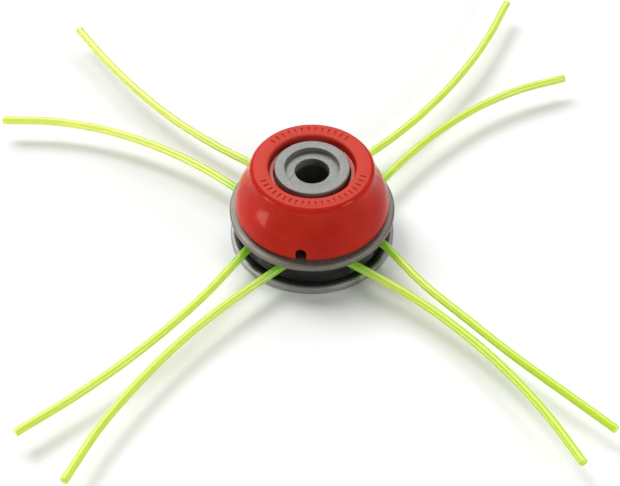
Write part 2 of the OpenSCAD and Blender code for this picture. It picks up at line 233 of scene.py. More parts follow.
# painted shade: the dark grey of the lower disc inside its rim, under the flange
PLATE_PAINTED_SHADE = linear(58, 58, 56)
HUB_GREY = linear(126, 127, 122)
HUB_GREY_LIGHT = linear(136, 137, 132)
HUB_SPECK = linear(92, 93, 89)
LINER_BLACK = linear(13, 13, 13)
LINER_BLACK_LIGHT = linear(22, 22, 21)
POST_BLACK = linear(50, 50, 52)
POST_BLACK_LIGHT = linear(78, 78, 80)
SCREW_BLACK = linear(38, 38, 40)
SCREW_WORN = linear(84, 82, 80)
# painted shade: the deeper green of the lines near the head, where the head shades them
LINE_SHADE_GREEN = linear(112, 196, 28)
# painted sheen: the pale tones of the lines to the back left, where the back light falls
LINE_SHEEN_PALE = linear(213, 221, 102)
LINE_SHEEN_PALEST = linear(222, 227, 118)
LINE_LIME = linear(190, 212, 50)
# painted light: the glow colour of the lines, which lifts their shaded sides
LINE_PAINTED_GLOW = (0.55, 0.8, 0.08, 1)
FLOOR_WHITE = (0.8, 0.8, 0.8, 1)

GLOSS_SHINE = 0.08  # specular levels of the red plastic
OPENING_SHINE = 0.5
DISC_SHADE_R = 37.5  # the lower disc is darkened within this radius, painted shade under the flange
SHADE_BLUR = 0.4  # to each side of it
# painted shade: the green near the head stands in for the shade on the lines
LINE_SHADE_GREEN_R = 36  # the lines turn from green to lime between these radii
LINE_LIME_R = 52
# painted sheen: the lines are paler to the back left, lit from behind
LINE_SHEEN_PALE_X_LESS_Y = -150  # and from pale to lime over these values of x less y
LINE_SHEEN_GONE_X_LESS_Y = 180
AROUND_SCALE = 0.002  # how little a mark changes round the axis

# Sockets of the mix node's colours, which share their names with others
MIX_A = 6
MIX_B = 7
MIX_RESULT = 2


class Shader:
    """A material's node tree, with short calls for the nodes used here."""

    def __init__(self, name):
        self.material = bpy.data.materials.new(name)
        self.material.use_nodes = True
        self.tree = self.material.node_tree
        self.surface = self.tree.nodes["Principled BSDF"]
        self.place = self.node("ShaderNodeTexCoord").outputs["Object"]

    def node(self, kind, inputs=None, **settings):
        made = self.tree.nodes.new(kind)
        for key, value in settings.items():
            setattr(made, key, value)
        for key, value in (inputs or {}).items():
            self.feed(made.inputs[key], value)
        return made

    def feed(self, socket, value):
        """Links another node's output, or sets a plain value."""
        if isinstance(value, bpy.types.NodeSocket):
            self.tree.links.new(value, socket)
        else:
            socket.default_value = value

    def set(self, **values):
        """Sets inputs of the surface, named with underscores for spaces."""
        for key, value in values.items():
            self.feed(self.surface.inputs[key.replace("_", " ")], value)

    def calc(self, operation, a, b):
        return self.node("ShaderNodeMath", {0: a, 1: b}, operation=operation).outputs[0]

    def noise(self, scale, detail, roughness=0.55, place=None):
        """Noise of a scale in waves for each metre."""
        inputs = {
            "Vector": place or self.place,
            "Scale": scale,
            "Detail": detail,
            "Roughness": roughness,
        }
        return self.node("ShaderNodeTexNoise", inputs).outputs["Fac"]

    def spread(self, value, low, high, to_low=0, to_high=1):
        """A value from low to high, spread over to_low to to_high."""
        inputs = {
            "Value": value,
            "From Min": low,
            "From Max": high,
            "To Min": to_low,
            "To Max": to_high,
        }
        return self.node("ShaderNodeMapRange", inputs).outputs["Result"]

    def mix(self, share, a, b):
        """Colour a, turned into b by a share."""
        made = self.node("ShaderNodeMix", {MIX_A: a, MIX_B: b}, data_type="RGBA")
        self.feed(made.inputs["Factor"], share)
        return made.outputs[MIX_RESULT]

    def bump(self, height, strength, distance, under=None):
        """A bump of a distance in metres, on top of another one if given."""
        inputs = {"Height": height, "Strength": strength, "Distance": distance}
        if under is not None:
            inputs["Normal"] = under
        return self.node("ShaderNodeBump", inputs).outputs["Normal"]

    def axes(self):
        return self.node("ShaderNodeSeparateXYZ", {0: self.place}).outputs

    def radius(self):
        """Distance from the spindle axis."""
        x, y, _ = self.axes()
        squares = [self.calc("MULTIPLY", a, a) for a in (x, y)]
        return self.calc("SQRT", self.calc("ADD", *squares), 0)

    def round_the_axis(self):
        """A place for marks that run round a turned piece."""
        x, y, z = self.axes()
        turn = self.calc("ARCTAN2", y, x)
        slow_turn = self.calc("MULTIPLY", turn, AROUND_SCALE)
        inputs = {0: self.radius(), 1: z, 2: slow_turn}
        return self.node("ShaderNodeCombineXYZ", inputs).outputs[0]


def gloss_red(name, shine):
    """Moulded plastic of the flank and the opening, with a very slight waviness."""
    s = Shader(name)
    cloud = s.noise(scale=60, detail=2)
    grain = s.noise(scale=900, detail=2)
    s.set(
        Base_Color=s.mix(s.spread(cloud, 0.35, 0.65), GLOSS_RED, GLOSS_RED_DEEP),
        Roughness=s.spread(grain, 0.3, 0.7, 0.07, 0.12),
        IOR=1.5,
        Specular_IOR_Level=shine,
        Specular_Tint=(1, 0.66, 0.6, 1),
        Normal=s.bump(cloud, strength=0.05, distance=0.001),
    )
    return s.material


def matte_red():
    """Moulded plastic of the top face: finely eroded and matte."""
    s = Shader("red_plastic_matte")
    grain = s.noise(scale=2600, detail=3)
    s.set(
        Base_Color=s.mix(s.spread(grain, 0.3, 0.7), ERODED_RED, ERODED_RED_DEEP),
        Roughness=0.7,
        Specular_IOR_Level=0.2,
        Normal=s.bump(grain, strength=0.35, distance=0.0002),
    )
    return s.material


def plate_metal(name, light, dark, speckle, shade_within=None):
    """Cast and turned aluminium: grey and speckled, with faint turning marks,
    and darkened with painted shade inside a given radius, where the flange shades it."""
    s = Shader(name)
    marks = s.noise(scale=2200, detail=2, place=s.round_the_axis())
    grain = s.noise(scale=1700, detail=4, roughness=0.65)
    cloud = s.noise(scale=90, detail=3)
    tone = s.mix(s.spread(cloud, 0.3, 0.7), light, dark)
    tone = s.mix(s.spread(grain, 0.4, 0.62, 0, speckle), tone, PLATE_SPECK)
    # painted shade: darker inside the given radius, under the flange
    if shade_within:
        low = (shade_within - SHADE_BLUR) * MM
        high = (shade_within + SHADE_BLUR) * MM
        tone = s.mix(s.spread(s.radius(), low, high), PLATE_PAINTED_SHADE, tone)
    under = s.bump(marks, strength=0.25, distance=0.0002)
    s.set(
        Base_Color=tone,
        Metallic=0.5,
        Roughness=s.spread(marks, 0.3, 0.7, 0.42, 0.56),
        Normal=s.bump(grain, strength=0.3, distance=0.0002, under=under),
    )
    return s.material


def hub_metal():
    """Sintered steel of the hub: an even, fine grain."""
    s = Shader("hub_metal")
    grain = s.noise(scale=1800, detail=4, roughness=0.7)
    cloud = s.noise(scale=140, detail=3)
    tone = s.mix(s.spread(cloud, 0.3, 0.7), HUB_GREY, HUB_GREY_LIGHT)
    s.set(
        Base_Color=s.mix(s.spread(grain, 0.4, 0.62, 0, 0.7), tone, HUB_SPECK),
        Metallic=0.4,
        Roughness=0.5,
        Normal=s.bump(grain, strength=0.6, distance=0.0002),
    )
    return s.material


def liner_plastic():
    """Black moulded nylon: satin, with faint rings from the mould."""
    s = Shader("liner_plastic")
    rings = s.noise(scale=900, detail=1, place=s.round_the_axis())
    grain = s.noise(scale=1800, detail=3)
    under = s.bump(rings, strength=0.3, distance=0.0003)
    s.set(
        Base_Color=s.mix(s.spread(grain, 0.35, 0.65), LINER_BLACK, LINER_BLACK_LIGHT),
        Roughness=s.spread(grain, 0.3, 0.7, 0.42, 0.55),
        Normal=s.bump(grain, strength=0.15, distance=0.0002, under=under),
    )
    return s.material


def post_metal():
    """Turned and blackened steel, with fine rings from the lathe."""
    s = Shader("post_metal")
    wave = {"Vector": s.place, "Scale": 900.0, "Distortion": 1.0}
    rings = s.node("ShaderNodeTexWave", wave, bands_direction="Z").outputs["Fac"]
    cloud = s.noise(scale=300, detail=3)
    s.set(
        Base_Color=s.mix(s.spread(cloud, 0.3, 0.7), POST_BLACK, POST_BLACK_LIGHT),
        Metallic=0.8,
        Roughness=s.spread(cloud, 0.3, 0.7, 0.34, 0.46),
        Normal=s.bump(rings, strength=0.12, distance=0.0001),
    )
    return s.material


def screw_metal():
    """Blackened screw steel, a little worn."""
    s = Shader("screw_metal")
    cloud = s.noise(scale=500, detail=4)
    s.set(
        Base_Color=s.mix(s.spread(cloud, 0.45, 0.75), SCREW_BLACK, SCREW_WORN),
        Metallic=0.7,
        Roughness=s.spread(cloud, 0.3, 0.7, 0.5, 0.35),
        Normal=s.bump(cloud, strength=0.1, distance=0.0001),
    )
    return s.material


def nylon():
    """Translucent nylon: a green near the head that is painted shade, lime beyond it,
    deeper to the front right and paler to the back left as a painted sheen of the back light.
    It glows a little as painted light, lifting its shaded sides."""
    s = Shader("line_nylon")
    x, y, _ = s.axes()
    # painted shade: green near the head, fading to lime outwards
    away = s.spread(s.radius(), LINE_SHADE_GREEN_R * MM, LINE_LIME_R * MM)
    # painted sheen: paler to the back left, lime to the front right
    x_less_y = s.calc("SUBTRACT", x, y)
    sheen_fade_to_front_right = s.spread(x_less_y, LINE_SHEEN_PALE_X_LESS_Y * MM, LINE_SHEEN_GONE_X_LESS_Y * MM)
    cloud = s.noise(scale=45, detail=2)
    pale = s.mix(s.spread(cloud, 0.35, 0.65), LINE_SHEEN_PALE, LINE_SHEEN_PALEST)
    lime = s.mix(sheen_fade_to_front_right, pale, LINE_LIME)
    s.set(
        Base_Color=s.mix(away, LINE_SHADE_GREEN, lime),
        Roughness=0.28,
        IOR=1.53,
        Transmission_Weight=0.4,
        Subsurface_Weight=0.6,
        Subsurface_Radius=(1.0, 1.0, 0.35),
        Subsurface_Scale=0.003,
        # painted light: a faint glow on the lines, though they are no lamp
        Emission_Color=LINE_PAINTED_GLOW,
        Emission_Strength=0.12,
        Normal=s.bump(s.noise(scale=260, detail=2), strength=0.06, distance=0.0005),
    )
    return s.material


def floor_white():
    """Plain matte white of the studio floor."""
    s = Shader("floor_white")
    s.set(Base_Color=FLOOR_WHITE, Roughness=0.9, Specular_IOR_Level=0.2)
    return s.material


# Cover, with its tapped bosses for the screws from the flange
COVER_STEPS = 360
COVER_WALL = 2.2
COVER_GAP = 1.5  # from the flange up to the skirt
COVER_EDGE_Z = FLANGE_Z + COVER_GAP
COVER_TOP_R = 29.2
COVER_ROOF_Z = COVER_Z - COVER_WALL
ROOF_CORNER = 1  # cut off where the hollow's roof meets its flank
CREASE_R = 27.3
CROWN_FROM = math.radians(68)
CROWN_TO = math.radians(9)
CROWN_R = (COVER_TOP_R - CREASE_R) / (math.cos(CROWN_TO) - math.cos(CROWN_FROM))
CROWN_H = CROWN_R * (math.sin(CROWN_FROM) - math.sin(CROWN_TO))
CROWN_STEPS = 12
FLANK_STEPS = 40
HOLLOW_STEPS = 16
# The flank's curve is pulled by shares of its flare, outwards from its top and
# inwards from its foot, and by shares of its fall, down from its top
TOP_PULL = (0.14, 0.31)
FOOT_PULL = (0.15, 0.58)
LIP_H = 2
OPENING_R = 20.75
LEDGE_Z = COVER_Z - 4
LEDGE_T = 2
LEDGE_IN_R = 18
LEDGE_OUT_R = 19.8
SEAT_OUT_R = COVER_R - COVER_WALL + 0.5
SEAT_IN_R = COVER_R - COVER_WALL - 0.4
SEAT_TOP_Z = FLANGE_Z + 4.2
NOTCH_TURNS = (-102, 78)
NOTCH_W = 5.2
NOTCH_H = 6
NOTCH_ARCH_STEPS = 24
TAPPING_SPOTS = spots(28, (0, 90, 180, 270))
TAPPING_R = 1.6
TAPPING_TOP_Z = FLANGE_Z + 10.8
TAPPING_STEPS = 32
TAPPING_BOSS_R = TAPPING_R + 2.1
TAPPING_BOSS_Z = 32.2
TICK_ARCS = ((45, 135, 13), (-160, -20, 21))  # first turn, last turn, count
TICK_R = 24.4
TICK_LENGTH = 2.8
TICK_WIDTH = 0.8
TICK_DEPTH = 0.45

# Order of the cover's materials, and how far the looks of its top face and of
# its opening reach
FLANK_LOOK, TOP_LOOK, OPENING_LOOK = range(3)
TOP_LOOK_DEPTH = 0.8
OPENING_LOOK_R = OPENING_R + 0.2


def flank(inset, steps):
    """The cover's flank from its crown down: steep, flaring, then upright."""
    top = COVER_Z - CROWN_H
    low = COVER_EDGE_Z + LIP_H
    fall = top - low
    flare = COVER_R - COVER_TOP_R
    a = Vector((COVER_TOP_R - inset, top))
    b = Vector((COVER_TOP_R + TOP_PULL[0] * flare - inset, top - TOP_PULL[1] * fall))
    c = Vector((COVER_R - FOOT_PULL[0] * flare - inset, top - FOOT_PULL[1] * fall))
    d = Vector((COVER_R - inset, low))
    found = []
    for i in range(steps + 1):
        t = i / steps
        s = 1 - t
        found.append(s**3 * a + 3 * s * s * t * b + 3 * s * t * t * c + t**3 * d)
    return found


def crown():
    """The rounding from the crease round the top face down to the flank."""
    middle_r = COVER_TOP_R - CROWN_R * math.cos(CROWN_TO)
    middle_z = COVER_Z - CROWN_R * math.sin(CROWN_FROM)
    found = []
    for i in range(1, CROWN_STEPS):
        a = CROWN_FROM + (CROWN_TO - CROWN_FROM) * i / CROWN_STEPS
        found.append(Vector((middle_r + CROWN_R * math.cos(a), middle_z + CROWN_R * math.sin(a))))
    return found


def notch_cutter(turn):
    """Cutter for an arched opening through the skirt and the seat behind it."""
    side = NOTCH_W / 2
    spring_z = COVER_EDGE_Z + NOTCH_H - side
    outline = [(-side, FLANGE_Z - PAST), (side, FLANGE_Z - PAST)]
    for i in range(NOTCH_ARCH_STEPS + 1):
        a = math.pi * i / NOTCH_ARCH_STEPS
        outline.append((side * math.cos(a), spring_z + side * math.sin(a)))
    mesh = bmesh.new()
    rings = []
    for x in (SEAT_IN_R - PAST, COVER_R + PAST):
        rings.append([mesh.verts.new((x * MM, y * MM, z * MM)) for y, z in outline])
    skin(mesh, rings)
    bmesh.ops.recalc_face_normals(mesh, faces=mesh.faces)
    mesh.transform(Matrix.Rotation(math.radians(turn), 4, "Z"))
    return to_piece("notch", mesh)


def index_ticks():
    """Cutters for two arcs of plain index marks, sunk into the top face."""
    mesh = bmesh.new()
    size = Matrix.Diagonal((TICK_LENGTH * MM, TICK_WIDTH * MM, PAST * MM, 1))
    middle = Vector((TICK_R, 0, COVER_Z - TICK_DEPTH + PAST / 2)) * MM
    for first, last, count in TICK_ARCS:
        for i in range(count):
            turn = math.radians(first + (last - first) * i / (count - 1))
            place = Matrix.Rotation(turn, 4, "Z") @ Matrix.Translation(middle)
            bmesh.ops.create_cube(mesh, size=1, matrix=place @ size)
    return to_piece("ticks", mesh)


def cover_outline():
    """Section of the cover: opening and ledge, top, crown, flank, lip, inside."""
    inner_wall = OPENING_R + COVER_WALL
    top = [
        (OPENING_R, COVER_EDGE_Z, 0),
        (OPENING_R, LEDGE_Z - LEDGE_T, 0.3),
        (LEDGE_IN_R, LEDGE_Z - LEDGE_T, 0.2),
        (LEDGE_IN_R, LEDGE_Z, 0.25),
        (LEDGE_OUT_R, LEDGE_Z, 0.2),
        (OPENING_R, COVER_Z, 0.9),
        (CREASE_R, COVER_Z, 0),
    ]
    lip = [
        (COVER_R, COVER_EDGE_Z + LIP_H, 0),
        (COVER_R, COVER_EDGE_Z, 0.4),
        (SEAT_OUT_R, COVER_EDGE_Z, 0.1),
        (SEAT_OUT_R, FLANGE_Z, 0.1),
        (SEAT_IN_R, FLANGE_Z, 0.1),
        (SEAT_IN_R, SEAT_TOP_Z, 0),
    ]
    hollow = [
        (COVER_TOP_R - COVER_WALL - ROOF_CORNER, COVER_ROOF_Z, 0),
        (inner_wall, COVER_ROOF_Z, 0.6),
        (inner_wall, COVER_EDGE_Z, 0),
    ]
    inside = [
        p
        for p in reversed(flank(COVER_WALL, HOLLOW_STEPS))
        if SEAT_TOP_Z < p.y < COVER_ROOF_Z - ROOF_CORNER
    ]
    # The flank ends where the lip starts, so that point is left out of the lip
    outside = rounded(top) + crown() + flank(0, FLANK_STEPS) + rounded(lip)[1:]
    return outside + inside + rounded(hollow)


def add_cover():
    """The moulded bell, whose faces get their looks by where they lie."""
    piece = lathe("cover_shell", cover_outline(), COVER_STEPS)
    bosses = [drum(TAPPING_BOSS_R, FLANGE_Z, TAPPING_BOSS_Z, at) for at in TAPPING_SPOTS]
    combine(piece, bosses, "UNION")
    cutters = [notch_cutter(turn) for turn in NOTCH_TURNS] + [index_ticks()]
    for at in TAPPING_SPOTS:
        cutters.append(
            drum(TAPPING_R + FIT, FLANGE_Z - PAST, TAPPING_TOP_Z, at, steps=TAPPING_STEPS)
        )
    combine(piece, cutters, "DIFFERENCE")
    finish_piece(
        piece,
        "cover_plastic",
        "cover",
        gloss_red("red_plastic_gloss", GLOSS_SHINE),
        matte_red(),
        gloss_red("red_plastic_bore", OPENING_SHINE),
    )
    for face in piece.data.polygons:
        reach = math.hypot(face.center.x, face.center.y) / MM
        depth = COVER_Z - face.center.z / MM
        if reach < CREASE_R and depth < TOP_LOOK_DEPTH:
            face.material_index = TOP_LOOK
        elif reach < OPENING_LOOK_R:
            face.material_index = OPENING_LOOK
        else:
            face.material_index = FLANK_LOOK


# Hub and split ring
HUB_R = 17.5
SPIGOT_R = 14.5
WELL_R = 12
WEB_Z = RING_Z - 2.5
SPINDLE_R = 8.05
COUNTERBORE_R = 12.75
COUNTERBORE_Z = HUB_Z - 2.6
RING_SEAT_R = COUNTERBORE_R - 0.2
RING_OUT_R = COUNTERBORE_R - 0.25
COLLAR_Z = FLANGE_Z + 2.8
SLIT_TURN = 196
SLIT_SKEW = 4.9  # degrees that the slit turns for each mm outwards
SLIT_W = 0.35
SLIT_W_AT_R = 10  # the slit's sides run outwards, so it is this wide here


def add_hub(metal):
    """The turned hub: spigot, collar, counterbore, web and nut well."""
    outline = rounded([
        (WELL_R, HUB_FOOT_Z, 0.3),
        (SPIGOT_R, HUB_FOOT_Z, 0.5),
        (SPIGOT_R, LINER_Z, 0),
        (HUB_R, LINER_Z, 0.2),
        (HUB_R, FLANGE_Z, 0),
        (COLLAR_R, FLANGE_Z, 0.1),
        (COLLAR_R, COLLAR_Z, 0.6),
        (HUB_R, COLLAR_Z, 0.3),
        (HUB_R, HUB_Z, 0.6),
        (COUNTERBORE_R, HUB_Z, 0.35),
        (COUNTERBORE_R, COUNTERBORE_Z, 0),
        (RING_SEAT_R, COUNTERBORE_Z, 0),
        (RING_SEAT_R, RING_Z, 0),
        (SPINDLE_R, RING_Z, 0),
        (SPINDLE_R, WEB_Z, 0.2),
        (WELL_R, WEB_Z, 1),
    ])
    finish_piece(lathe("hub_turned", outline), "hub_steel", "hub", metal)


def add_split_ring(metal):
    """The ring at the bottom of the counterbore, with a slanting slit."""
    outline = rounded([
        (SPINDLE_R, RING_Z, 0),
        (RING_OUT_R, RING_Z, 0),
        (RING_OUT_R, RING_TOP_Z, 0.15),
        (SPINDLE_R, RING_TOP_Z, 0.3),
    ])
    slit = math.degrees(SLIT_W / SLIT_W_AT_R)
    piece = lathe("split_ring_turned", outline, gap=slit, gap_at=SLIT_TURN)
    middle_r = (SPINDLE_R + RING_OUT_R) / 2
    for vertex in piece.data.vertices:
        reach = math.hypot(vertex.co.x, vertex.co.y) / MM
        skew = math.radians(SLIT_SKEW * (reach - middle_r))
        vertex.co = Matrix.Rotation(skew, 3, "Z") @ vertex.co
    finish_piece(piece, "hub_steel", "split_ring", metal)


# Plates and liners, with the room for the posts and screws
EDGE_R = 0.8
RIM_ROUNDING = EDGE_R * 1.4
FOOT_ROUNDING = EDGE_R * 0.8
RIM_W = 2.4
RIM_IN_R = PLATE_R - EDGE_R - RIM_W
RIM_TOP_R = RIM_IN_R - 0.4
RECESS_R = RIM_IN_R - 1.4
CORE_R = 32
CORE_FOOT_R = CORE_R + 0.6
LINER_BRIM_R = RECESS_R - 0.1
LINER_BRIM_Z = DISC_FLOOR_Z + 0.8
LINER_STEP_R = (RECESS_R + CORE_R) / 2 + 0.2
LINER_STEP_Z = DISC_FLOOR_Z + 1.7
LINER_STEP_SLOPE = 0.3
CORE_FOOT_Z = DISC_FLOOR_Z + 1.9
POCKET_STEPS = 192
POCKET_DEPTH = 1.2
POCKET_DRAFT = 0.5 * POCKET_DEPTH
POCKET_OUT_R = 33
POCKET_IN_R = 18.5
RIB_TURNS = (0, 45, 90, 135)
RIB_T = 2.4
POST_TURNS = (45, 135, 225, 315)
POST_SPOTS = spots(29.5, POST_TURNS)
POST_END_R = 4.8
POST_SEAT = 1.5  # how deep each end of a post stands in its liner
SCREW_R = 2.5
SCREW_HEAD_R = 4.6
SCREW_HEAD_Z = 0.4
SCREW_CONE_Z = SCREW_HEAD_Z + SCREW_HEAD_R - SCREW_R
SCREW_WALL_R = SCREW_HEAD_R + 2
SCREW_HOLE_Z = FLANGE_RIM_Z + 6.6
FLANGE_BOSS_R = SCREW_R + 3.25
FLANGE_BOSS_Z = FLANGE_RIM_Z + 7.8
FLANGE_BOSS_SUNK = 0.5  # into the flange
FLANGE_BOSS_REACH = SEAT_IN_R - 0.3
TAPPING_HEAD_ROOM_R = 3.5
TAPPING_PASS_R = TAPPING_R + 0.2


def pocket_cutter():
    """The shallow pockets in the underside, between ribs and round the screws."""
    outline = [
        (POCKET_IN_R, -PAST),
        (POCKET_OUT_R, -PAST),
        (POCKET_OUT_R, 0),
        (POCKET_OUT_R - POCKET_DRAFT, POCKET_DEPTH),
        (POCKET_IN_R + POCKET_DRAFT, POCKET_DEPTH),
        (POCKET_IN_R, 0),
    ]
    pocket = lathe("pocket", outline, POCKET_STEPS)
    low = -2 * PAST
    walls = [drum(SCREW_WALL_R, low, RIM_Z, at) for at in POST_SPOTS]
    for turn in RIB_TURNS:
        walls.append(block((-PLATE_R, -RIB_T / 2, low), (PLATE_R, RIB_T / 2, RIM_Z), turn))
    combine(pocket, walls, "DIFFERENCE")
    return pocket


def add_lower_disc():
    """The cast dish that the head stands on, with countersunk screw holes."""
    outline = rounded([
        (SPIGOT_R + FIT, 0, 0.3),
        (PLATE_R, 0, FOOT_ROUNDING),
        (PLATE_R, RIM_Z, RIM_ROUNDING),
        (RIM_TOP_R, RIM_Z, 0.6),
        (RECESS_R, DISC_FLOOR_Z, 0.1),
        (SPIGOT_R + FIT, DISC_FLOOR_Z, 0),
    ])
    piece = lathe("lower_disc_cast", outline)
    cutters = [pocket_cutter()]
    hole_r = SCREW_R + FIT
    head_r = SCREW_HEAD_R + FIT
    for at in POST_SPOTS:
        cutters.append(drum(hole_r, -PAST, DISC_FLOOR_Z + PAST, at))
        cutters.append(drum(head_r, -PAST, SCREW_HEAD_Z, at))
        cutters.append(drum(head_r, SCREW_HEAD_Z, SCREW_CONE_Z, at, top_radius=hole_r))
    combine(piece, cutters, "DIFFERENCE")
    # lighter than the flange's metal as painted light on the rim's front wall, and darkened
    # inside the rim as painted shade
    metal = plate_metal("disc_metal", DISC_LIT_GREY, DISC_LIT_GREY_DARK, 0.4, DISC_SHADE_R)
    finish_piece(piece, "plate", "lower_disc", metal)


def add_lower_liner(plastic):
    """The stepped moulding in the dish, with sockets for the posts."""
    outline = rounded([
        (SPIGOT_R + FIT, DISC_FLOOR_Z, 0),
        (LINER_BRIM_R, DISC_FLOOR_Z, 0),
        (LINER_BRIM_R, LINER_BRIM_Z, 0.25),
        (LINER_STEP_R + LINER_STEP_SLOPE, LINER_BRIM_Z, 0.2),
        (LINER_STEP_R, LINER_STEP_Z, 0.3),
        (CORE_FOOT_R, CORE_FOOT_Z, 0.5),
        (CORE_R, LINER_Z, RIM_ROUNDING),
        (SPIGOT_R + FIT, LINER_Z, 0.2),
    ])
    piece = lathe("lower_liner_moulded", outline)
    cutters = []
    for at in POST_SPOTS:
        cutters.append(drum(SCREW_R + FIT, DISC_FLOOR_Z - PAST, LINER_Z + PAST, at))
        cutters.append(drum(POST_END_R + FIT, LINER_Z - POST_SEAT, LINER_Z + PAST, at))
    combine(piece, cutters, "DIFFERENCE")
    finish_piece(piece, "liner_plastic", "lower_liner", plastic)


def add_upper_liner(plastic):
    """The moulding under the flange, with room for the cover's screw heads."""
    outline = rounded([
        (HUB_R + FIT, UPPER_LINER_Z, 0.2),
        (CORE_R, UPPER_LINER_Z, RIM_ROUNDING),
        (CORE_FOOT_R, FLANGE_RIM_Z, 0),
        (HUB_R + FIT, FLANGE_RIM_Z, 0),
    ])
    piece = lathe("upper_liner_moulded", outline)
    low = UPPER_LINER_Z - PAST
    cutters = []
    for at in POST_SPOTS:
        cutters.append(drum(SCREW_R + FIT, low, FLANGE_RIM_Z + PAST, at))
        cutters.append(drum(POST_END_R + FIT, low, UPPER_LINER_Z + POST_SEAT, at))
    for at in TAPPING_SPOTS:
        cutters.append(drum(TAPPING_HEAD_ROOM_R, low, FLANGE_RIM_Z + PAST, at))
    combine(piece, cutters, "DIFFERENCE")
    finish_piece(piece, "liner_plastic", "upper_liner", plastic)


def flange_boss(at):
    """A screw boss on the flange, cut back to fit inside the cover's seat."""
    boss = drum(FLANGE_BOSS_R, FLANGE_Z - FLANGE_BOSS_SUNK, FLANGE_BOSS_Z, at)
    low = FLANGE_Z - 2 * PAST
    bound = drum(FLANGE_BOSS_REACH, low, FLANGE_BOSS_Z + 2 * PAST, steps=TURNED_STEPS)
    combine(boss, [bound], "INTERSECT")
    return boss


def add_upper_flange():
    """The cast plate under the cover, with bosses that the post screws enter."""
    outline = rounded([
        (HUB_R + FIT, FLANGE_RIM_Z, 0),
        (PLATE_R, FLANGE_RIM_Z, RIM_ROUNDING),
        (PLATE_R, FLANGE_Z, RIM_ROUNDING),
        (HUB_R + FIT, FLANGE_Z, 0),
    ])
    piece = lathe("upper_flange_cast", outline)
    combine(piece, [flange_boss(at) for at in POST_SPOTS], "UNION")
    low = FLANGE_RIM_Z - PAST
    cutters = [drum(SCREW_R + FIT, low, SCREW_HOLE_Z, at) for at in POST_SPOTS]
    cutters += [drum(TAPPING_PASS_R, low, FLANGE_Z + PAST, at) for at in TAPPING_SPOTS]
    combine(piece, cutters, "DIFFERENCE")
    metal = plate_metal("flange_metal", FLANGE_GREY, FLANGE_GREY_DARK, 0.35)
    finish_piece(piece, "plate", "upper_flange", metal)


# Posts and screws
WELD_WITHIN = 1e-6  # metres
SOFT_EDGE_STEPS = 2
SOFT_EDGE_ANGLE = 35  # degrees between faces beyond which an edge is softened
POST_EDGE = 0.2
SCREW_EDGE = 0.1


def soften(node, material, width):
    """A CAD node's own mesh, with its edges rounded off."""
    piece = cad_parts[node]
    piece.data.materials.clear()
    piece.data.materials.append(material)
    weld = piece.modifiers.new("weld", "WELD")
    weld.merge_threshold = WELD_WITHIN
    edge = piece.modifiers.new("edge", "BEVEL")
    edge.width = width * MM
    edge.segments = SOFT_EDGE_STEPS
    edge.limit_method = "ANGLE"
    edge.angle_limit = math.radians(SOFT_EDGE_ANGLE)


def add_posts_and_screws():
    metal = post_metal()
    blackened = screw_metal()
    for number in range(1, len(POST_SPOTS) + 1):
        soften(f"post_{number}", metal, POST_EDGE)
        soften(f"post_screw_{number}", blackened, SCREW_EDGE)
        soften(f"cover_screw_{number}", blackened, SCREW_EDGE)


# Cutting lines: the route of each, as the CAD source gives it. The half loop is
# given along and across its post's direction, from the gap inwards.
LOOP_HALF = ((33.5, 9.7), (29.5, 10), (24.5, 8.5), (21.5, 5))
LOOP_APEX = (20.1, 0)
ENDS = (
    (
        ((33.5, 20.5), (50, 39.5), (68.5, 57), (89, 72), (111.5, 83.5), (136, 91)),
        ((20.5, 33.5), (44.5, 53.5), (65.5, 75), (84.5, 99), (101, 125), (115, 152.5)),
    ),
    (
        ((-20.5, 33.5), (-43.5, 52), (-64.5, 72.5), (-83, 95.5), (-99.5, 120), (-114, 145.5)),
        ((-33.5, 20.5), (-53, 39), (-74.5, 54.5), (-98.5, 67), (-124, 75), (-150.5, 78)),
    ),
    (
        ((-33.5, -20.5), (-50.5, -43), (-69.5, -64), (-90, -83.5), (-112, -101.5), (-135, -118)),
        ((-20.5, -33.5), (-43, -52), (-64, -72.5), (-83, -95), (-99.5, -118.5), (-113.5, -144.5)),
    ),
    (
        ((20.5, -33.5), (42.5, -52.5), (62, -74), (79, -97.5), (93.5, -123), (105, -149.5)),
        ((33.5, -20.5), (48.5, -45), (66, -67.5), (84, -90), (103, -111.5), (122, -133)),
    ),
)
SIDES = ("first", "second")
STEPS_PER_SPAN = 10
LINE_FACES = 18  # round a line
BROKEN_EDGE = 0.12  # of a line's radius, at its cut ends


def half_route(index, side):
    """Route of half a line, from the apex of its loop to one cut end."""
    sign = (-1, 1)[side]
    loop = [LOOP_APEX] + [(along, sign * across) for along, across in reversed(LOOP_HALF)]
    inside = [turned(p, POST_TURNS[index]) for p in loop]
    return inside + list(ENDS[index][side])


def smooth(points):
    """A curve through all the points, whose pull follows how far apart they are."""
    spread = [Vector(p) for p in points]
    first = spread[0] * 2 - spread[1]
    last = spread[-1] * 2 - spread[-2]
    spread = [first] + spread + [last]
    found = []
    for a, b, c, d in zip(spread, spread[1:], spread[2:], spread[3:]):
        ab, bc, cd = ((q - p).length ** 0.5 for p, q in ((a, b), (b, c), (c, d)))
        out = (b - a) / ab - (c - a) / (ab + bc) + (c - b) / bc
        into = (c - b) / bc - (d - b) / (bc + cd) + (d - c) / cd
        for i in range(STEPS_PER_SPAN):
            t = i / STEPS_PER_SPAN
            found.append(
                (2 * t**3 - 3 * t**2 + 1) * b
                + (t**3 - 2 * t**2 + t) * bc * out
                + (3 * t**2 - 2 * t**3) * c
                + (t**3 - t**2) * bc * into
            )
    found.append(Vector(spread[-2]))
    return found


